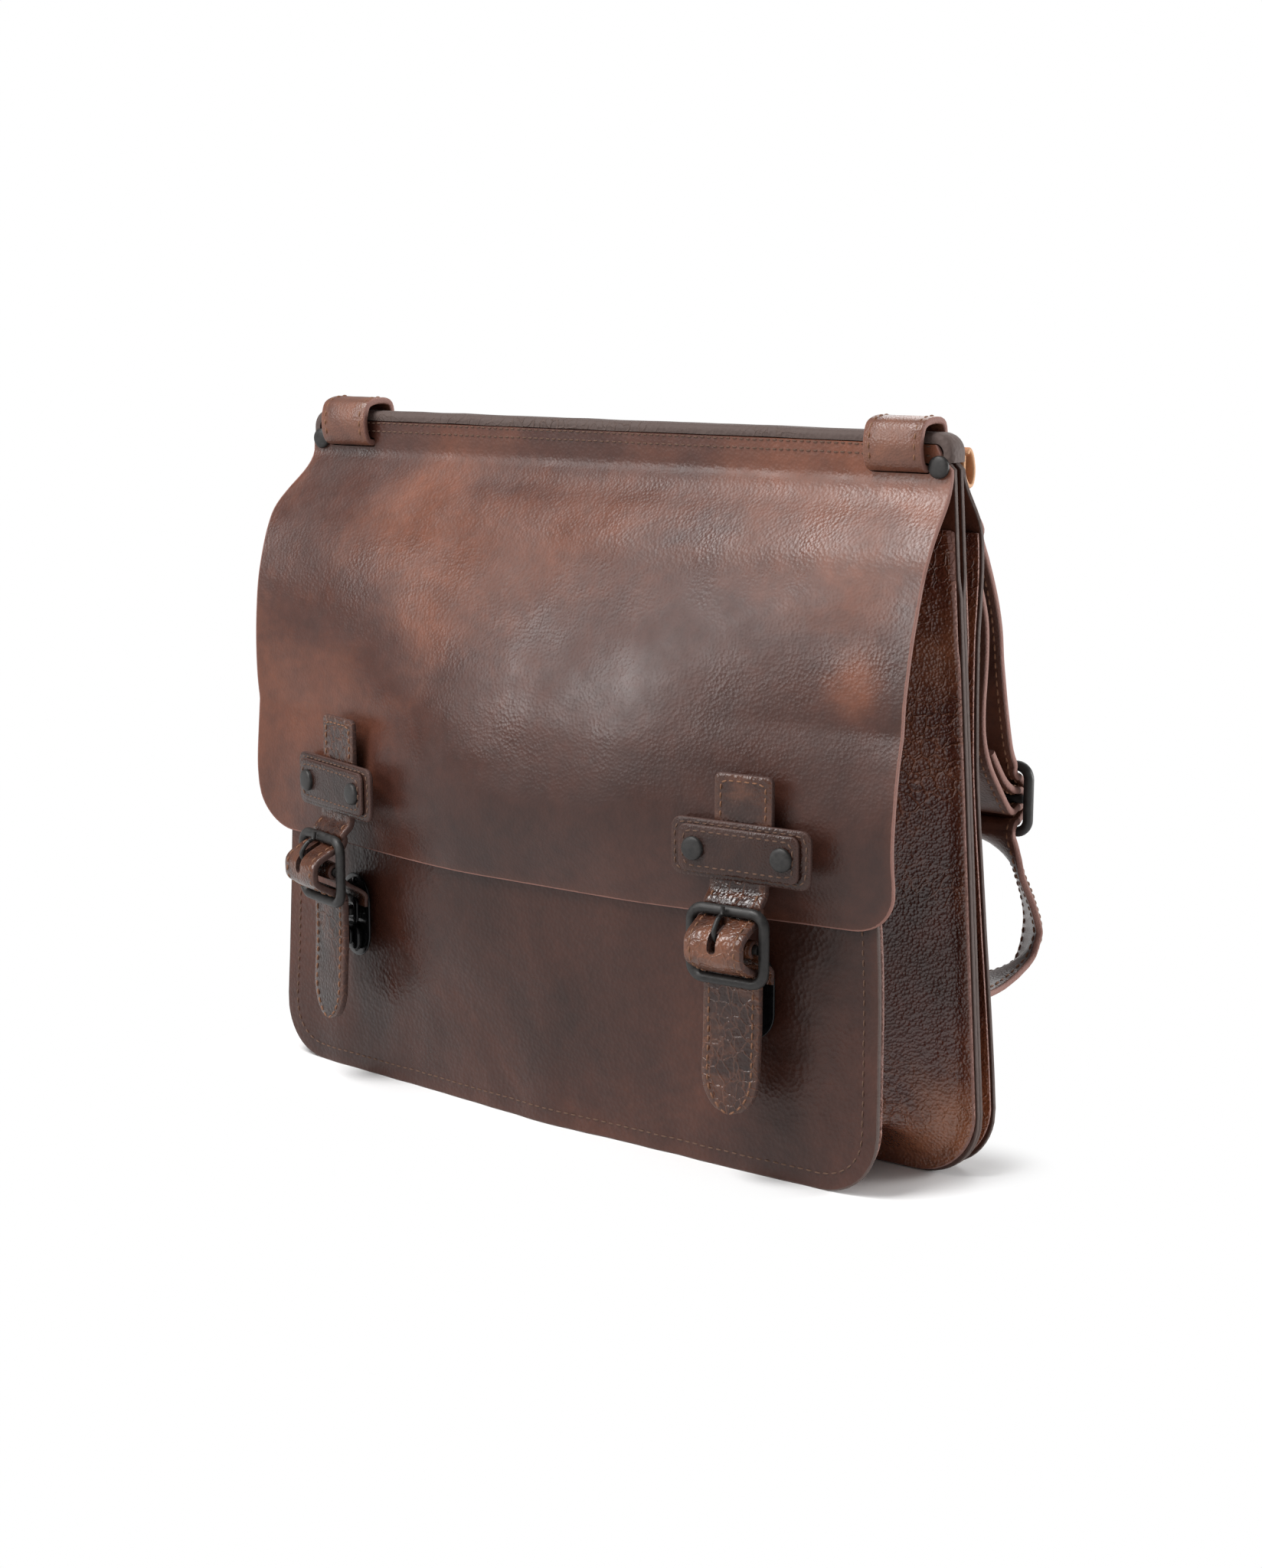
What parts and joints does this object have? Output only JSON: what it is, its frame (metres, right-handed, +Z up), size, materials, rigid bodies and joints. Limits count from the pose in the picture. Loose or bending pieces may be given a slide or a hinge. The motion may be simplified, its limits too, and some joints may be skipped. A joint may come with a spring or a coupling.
{
  "type": "leather satchel bag",
  "caption": "Structured satchel backpack: stiff bar, divided body with folded gussets, full flap, buckled lock closures and rear shoulder straps.",
  "frame": {"origin": "middle of the divider's bottom edge, on the ground the bag stands on", "axes": "+X along the bar to the right seen from the front, -Y out of the flap, +Z up"},
  "size_m": [0.4088, 0.1926, 0.3368],
  "materials": {
    "flap_leather": "dark brown leather, semi-gloss, burnished",
    "panel_leather": "dark brown leather, semi-gloss",
    "gusset_leather": "thin glossy dark brown leather",
    "strap_leather": "brown strap leather, stitched",
    "welt_leather": "dark edge-painted leather",
    "tan_leather": "undyed tan leather",
    "spine_board": "plain stiff board, covered",
    "dark_metal": "dark matte metal",
    "lock_metal": "black gloss metal"
  },
  "bodies": {
    "bag": {"anchor_stud_left": "dark_metal", "anchor_stud_right": "dark_metal", "anchor_tab_left": "strap_leather", "anchor_tab_right": "strap_leather", "back_panel": "panel_leather", "corner_rivet_left": "dark_metal", "corner_rivet_right": "dark_metal", "corner_tab_left": "tan_leather", "corner_tab_right": "tan_leather", "divider_front_leaf": "panel_leather", "divider_rear_leaf": "panel_leather", "flap_hinge_strip": "flap_leather", "front_gusset": "gusset_leather", "front_panel": "panel_leather", "lock_plate_left": "lock_metal", "lock_plate_right": "lock_metal", "rear_gusset": "gusset_leather", "spine_board": "spine_board", "strap_loop_left": "strap_leather", "strap_loop_right": "strap_leather", "top_welt": "welt_leather"},
    "flap": {"flap": "flap_leather", "closure_tab_left": "strap_leather", "closure_tab_right": "strap_leather", "crosspiece_base_left": "strap_leather", "crosspiece_base_right": "strap_leather", "crosspiece_bridge_left": "strap_leather", "crosspiece_bridge_right": "strap_leather", "crosspiece_rivet_left_1": "dark_metal", "crosspiece_rivet_left_2": "dark_metal", "crosspiece_rivet_right_1": "dark_metal", "crosspiece_rivet_right_2": "dark_metal"},
    "closure_strap_left": {"closure_strap_left": "strap_leather", "buckle_frame_left": "dark_metal", "buckle_bar_left": "dark_metal", "lock_tab_left": "strap_leather", "lock_tongue_left": "lock_metal"},
    "prong_left": {"buckle_prong_left": "dark_metal"},
    "lock_slider_left": {"lock_slider_left": "lock_metal"},
    "shoulder_strap_left": {"shoulder_strap_left": "strap_leather", "strap_fold_left": "strap_leather", "shoulder_buckle_left": "dark_metal", "shoulder_buckle_bar_left": "dark_metal"},
    "closure_strap_right": {"closure_strap_right": "strap_leather", "buckle_frame_right": "dark_metal", "buckle_bar_right": "dark_metal", "lock_tab_right": "strap_leather", "lock_tongue_right": "lock_metal"},
    "prong_right": {"buckle_prong_right": "dark_metal"},
    "lock_slider_right": {"lock_slider_right": "lock_metal"},
    "shoulder_strap_right": {"shoulder_strap_right": "strap_leather", "strap_fold_right": "strap_leather", "shoulder_buckle_right": "dark_metal", "shoulder_buckle_bar_right": "dark_metal"}
  },
  "joints": [
    {"name": "flap_hinge", "type": "hinge", "parent": "bag", "child": "flap", "pos_m": [0, -0.01145, 0.3], "axis": [-1, 0, 0], "range_deg": [0, 120]},
    {"name": "closure_swing_left", "type": "hinge", "parent": "flap", "child": "closure_strap_left", "pos_m": [-0.12824, -0.05771, 0.1367], "axis": [-0.9511, 0.309, 0], "range_deg": [0, 60]},
    {"name": "prong_swing_left", "type": "hinge", "parent": "closure_strap_left", "child": "prong_left", "pos_m": [-0.13062, -0.06503, 0.1097], "axis": [0.9511, -0.309, 0], "range_deg": [0, 15]},
    {"name": "lock_slide_left", "type": "slide", "parent": "bag", "child": "lock_slider_left", "axis": [0, 0, -1], "range_m": [0, 0.003], "stiffness_N_per_m": 200, "springref_m": -0.001},
    {"name": "shoulder_swing_left", "type": "hinge", "parent": "bag", "child": "shoulder_strap_left", "pos_m": [-0.164, 0.038, 0.17], "axis": [0, 0, 1], "range_deg": [-30, 30]},
    {"name": "closure_swing_right", "type": "hinge", "parent": "flap", "child": "closure_strap_right", "pos_m": [0.11839, -0.0661, 0.1367], "axis": [-0.9986, -0.0523, 0], "range_deg": [0, 60]},
    {"name": "prong_swing_right", "type": "hinge", "parent": "closure_strap_right", "child": "prong_right", "pos_m": [0.11879, -0.07379, 0.1097], "axis": [0.9986, 0.0523, 0], "range_deg": [0, 15]},
    {"name": "lock_slide_right", "type": "slide", "parent": "bag", "child": "lock_slider_right", "axis": [0, 0, -1], "range_m": [0, 0.003], "stiffness_N_per_m": 200, "springref_m": -0.001},
    {"name": "shoulder_swing_right", "type": "hinge", "parent": "bag", "child": "shoulder_strap_right", "pos_m": [0.164, 0.038, 0.17], "axis": [0, 0, 1], "range_deg": [-30, 30]}
  ]
}
